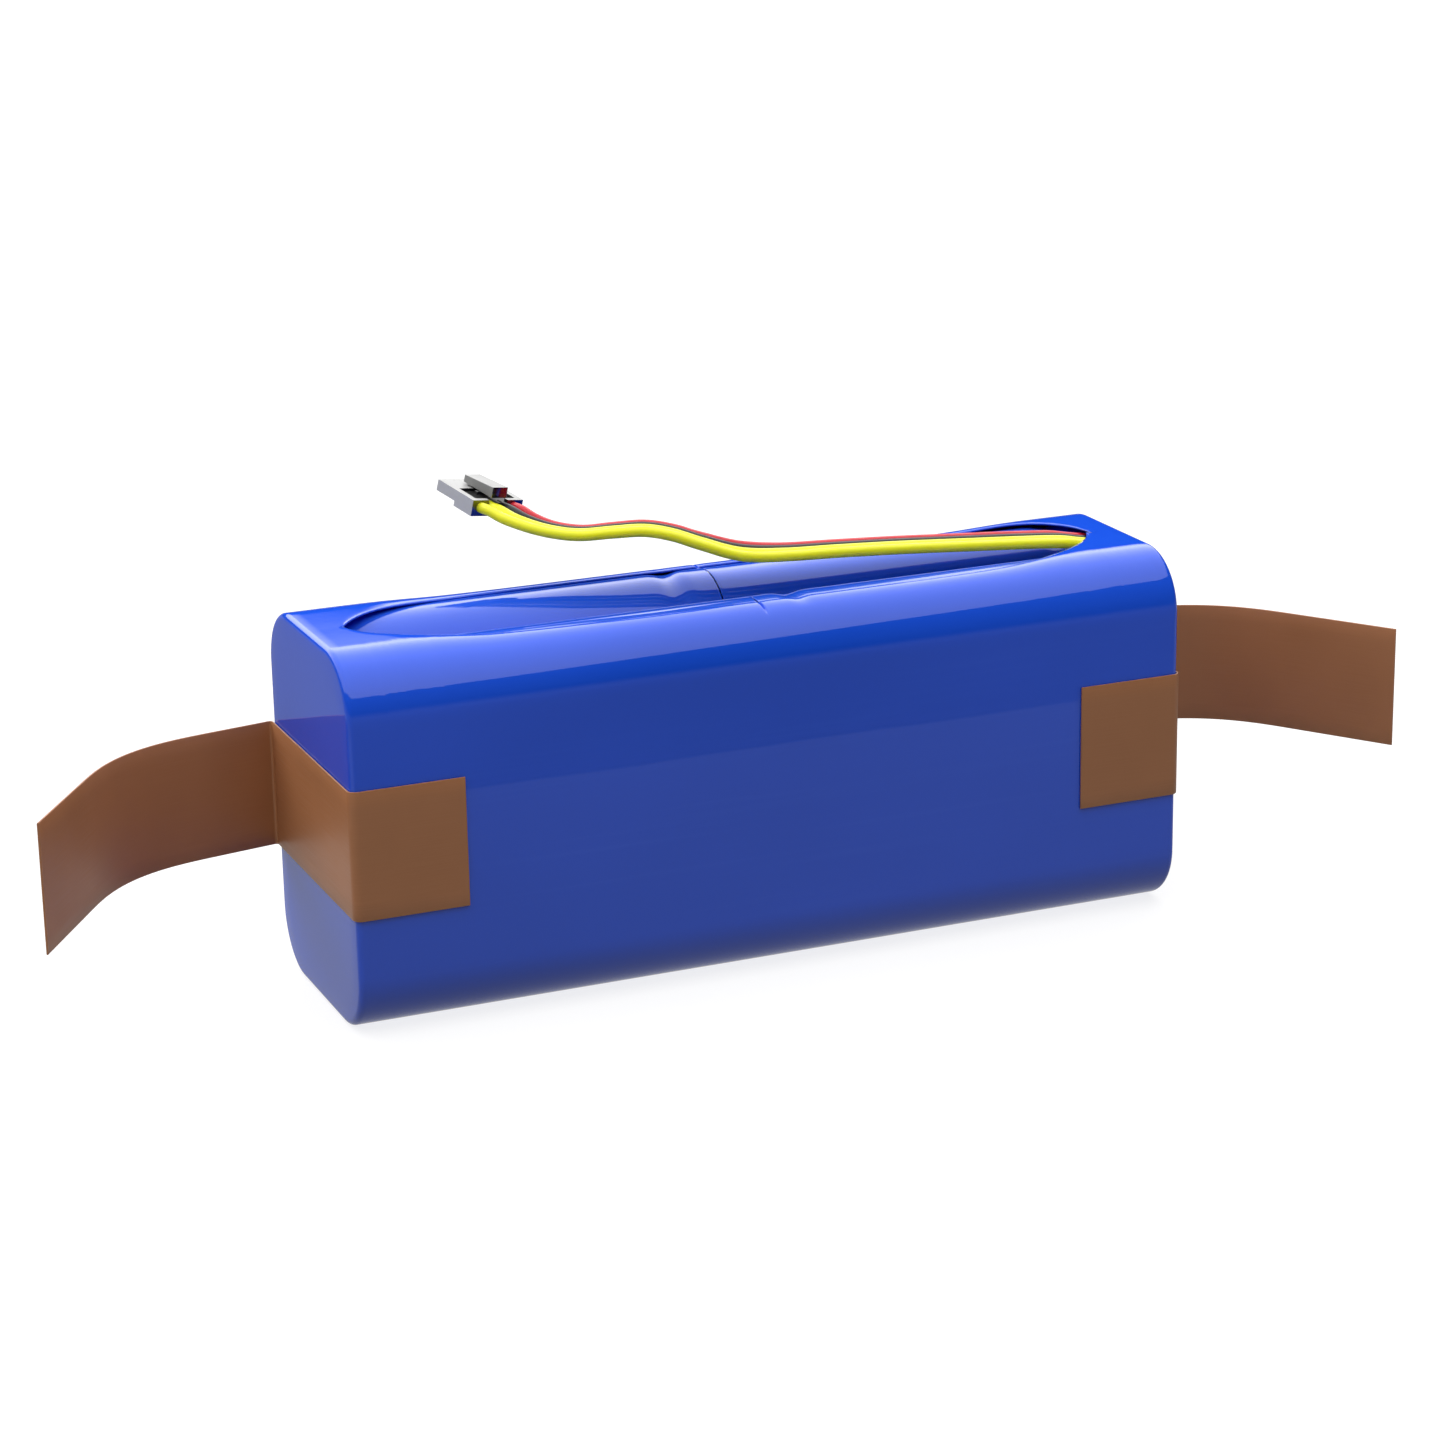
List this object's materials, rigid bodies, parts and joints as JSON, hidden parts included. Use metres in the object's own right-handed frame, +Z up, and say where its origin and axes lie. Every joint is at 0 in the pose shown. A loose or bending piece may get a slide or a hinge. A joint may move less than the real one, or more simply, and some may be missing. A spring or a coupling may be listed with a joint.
{
  "type": "battery pack",
  "caption": "Long rectangular rechargeable battery pack in a glossy blue shrink wrap, with brown fixing straps at both ends and a flat multi-wire lead ending in a small latched connector.",
  "frame": {"origin": "on the surface the pack stands on, under the middle of the pack and its straps", "axes": "+X along the pack towards the end where the lead comes out, +Y from the pack's front to its back, +Z up out of the face with the large opening"},
  "size_m": [0.222, 0.0491, 0.0717],
  "materials": {
    "wrap_blue": "glossy shrunk PVC film, deep blue",
    "sleeve_blue": "glossy PVC cell sleeve, blue",
    "can_steel": "nickel-plated steel can",
    "nickel": "spot-welded nickel strip",
    "board_paper": "matt pressed insulating paper",
    "board_green": "green circuit board",
    "tape_brown": "stiff brown film tape, satin",
    "wire_yellow": "yellow wire insulation, satin",
    "wire_black": "black wire insulation, satin",
    "wire_red": "red wire insulation, satin",
    "wire_grey": "grey wire insulation",
    "housing_white": "light grey moulded plastic, glossy",
    "contact_tin": "tin-plated contact",
    "resin_black": "black resin bead"
  },
  "bodies": {
    "pack": {"cell_can_left_front_top": "can_steel", "cell_can_left_front_middle": "can_steel", "cell_can_left_front_bottom": "can_steel", "cell_can_left_rear_top": "can_steel", "cell_can_left_rear_middle": "can_steel", "cell_can_left_rear_bottom": "can_steel", "cell_can_right_front_top": "can_steel", "cell_can_right_front_middle": "can_steel", "cell_can_right_front_bottom": "can_steel", "cell_can_right_rear_top": "can_steel", "cell_can_right_rear_middle": "can_steel", "cell_can_right_rear_bottom": "can_steel", "cell_sleeve_left_front_top": "sleeve_blue", "cell_sleeve_left_front_middle": "sleeve_blue", "cell_sleeve_left_front_bottom": "sleeve_blue", "cell_sleeve_left_rear_top": "sleeve_blue", "cell_sleeve_left_rear_middle": "sleeve_blue", "cell_sleeve_left_rear_bottom": "sleeve_blue", "cell_sleeve_right_front_top": "sleeve_blue", "cell_sleeve_right_front_middle": "sleeve_blue", "cell_sleeve_right_front_bottom": "sleeve_blue", "cell_sleeve_right_rear_top": "sleeve_blue", "cell_sleeve_right_rear_middle": "sleeve_blue", "cell_sleeve_right_rear_bottom": "sleeve_blue", "left_end_bridge_plate": "nickel", "front_middle_plate": "nickel", "rear_middle_plate": "nickel", "front_negative_plate": "nickel", "rear_positive_plate": "nickel", "left_end_board": "board_paper", "right_end_board": "board_paper", "front_side_paper": "board_paper", "rear_side_paper": "board_paper", "protection_board": "board_green", "thermistor_bead": "resin_black", "thermistor_lead": "wire_grey", "shrink_wrap": "wrap_blue", "left_strap_stuck": "tape_brown", "right_strap_stuck": "tape_brown", "front_yellow_wire": "wire_yellow", "rear_yellow_wire": "wire_yellow", "black_wire": "wire_black", "red_wire": "wire_red", "crimp_contact_1": "contact_tin", "crimp_contact_2": "contact_tin", "crimp_contact_3": "contact_tin", "crimp_contact_4": "contact_tin", "connector_housing": "housing_white"},
    "left_tab": {"left_strap_tail": "tape_brown"},
    "right_tab": {"right_strap_tail": "tape_brown"},
    "latch": {"connector_latch": "housing_white"}
  },
  "joints": [
    {"name": "left_strap_fold", "type": "hinge", "parent": "pack", "child": "left_tab", "pos_m": [-0.06775, 0.01915, 0.02865], "axis": [0, 0, 1], "range_deg": [-155, 50]},
    {"name": "right_strap_fold", "type": "hinge", "parent": "pack", "child": "right_tab", "pos_m": [0.06775, 0.01915, 0.02865], "axis": [0, 0, -1], "range_deg": [-155, 50]},
    {"name": "latch_press", "type": "hinge", "parent": "pack", "child": "latch", "pos_m": [-0.03124, 0.02232, 0.06945], "axis": [0.9566, 0.2481, -0.153], "range_deg": [0, 8], "stiffness_Nm_per_rad": 0.02}
  ]
}
